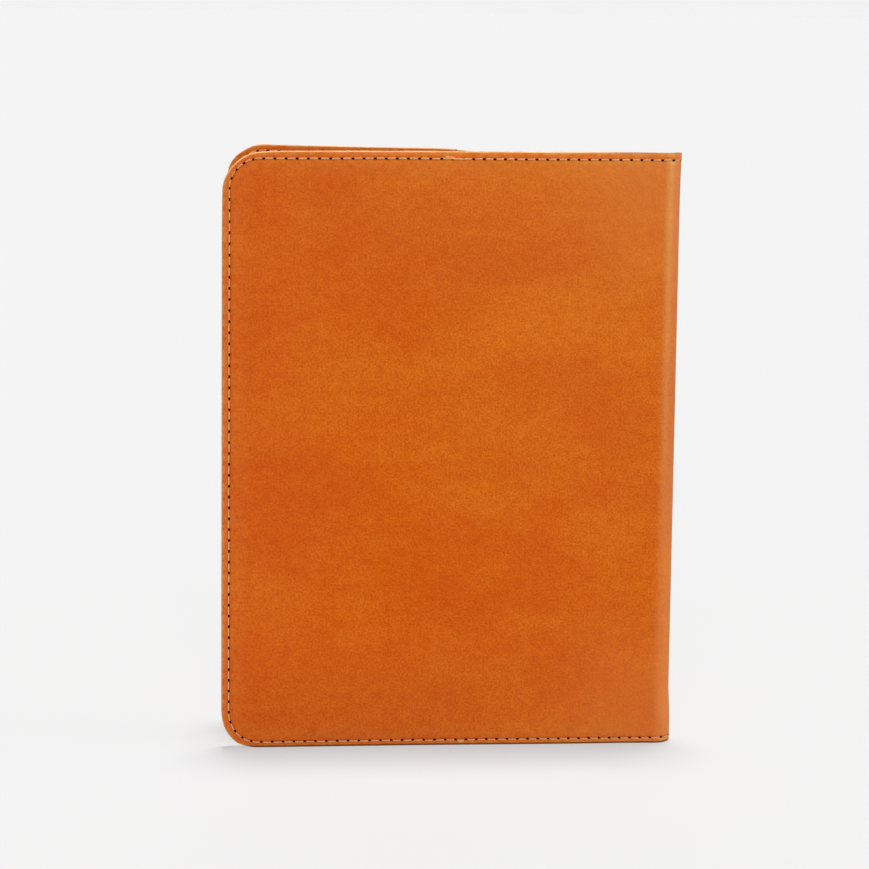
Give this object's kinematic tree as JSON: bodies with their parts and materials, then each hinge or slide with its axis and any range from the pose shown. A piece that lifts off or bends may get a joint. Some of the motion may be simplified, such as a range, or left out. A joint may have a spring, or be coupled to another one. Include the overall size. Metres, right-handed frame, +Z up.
{
  "type": "leather notebook cover",
  "caption": "Slip-on leather notebook cover with a round folded spine, a lining, an inside pocket in each cover and a stitched border, standing upright a little open.",
  "frame": {"origin": "centre of the overall box, on the bottom edges that the cover stands on", "axes": "+X from the fore edges towards the spine, +Y from the back cover to the front cover, +Z up along the spine"},
  "size_m": [0.2018, 0.0526, 0.266],
  "materials": {
    "outer_leather": "smooth burnished vegetable-tanned leather, orange tan, soft sheen, waxed edges",
    "lining_leather": "thin matte lining leather, light tan",
    "pocket_leather": "smooth burnished leather, a little redder than the outside",
    "thread": "waxed twisted polyester thread, pale tan"
  },
  "bodies": {
    "spine": {"spine_leather": "outer_leather", "spine_lining": "lining_leather", "spine_needle_thread": "thread", "spine_bobbin_thread": "thread"},
    "back_cover": {"back_leather": "outer_leather", "back_lining": "lining_leather", "back_pocket": "pocket_leather", "back_needle_thread": "thread", "back_bobbin_thread": "thread"},
    "front_cover": {"front_leather": "outer_leather", "front_lining": "lining_leather", "front_pocket": "pocket_leather", "front_needle_thread": "thread", "front_bobbin_thread": "thread"}
  },
  "joints": [
    {"name": "back_fold", "type": "hinge", "parent": "spine", "child": "back_cover", "pos_m": [0.09858, -0.00517, 0.133], "axis": [0, 0, 1], "range_deg": [-5.4, 84.6]},
    {"name": "front_fold", "type": "hinge", "parent": "spine", "child": "front_cover", "pos_m": [0.09858, 0.00517, 0.133], "axis": [0, 0, -1], "range_deg": [-5.4, 84.6]}
  ]
}
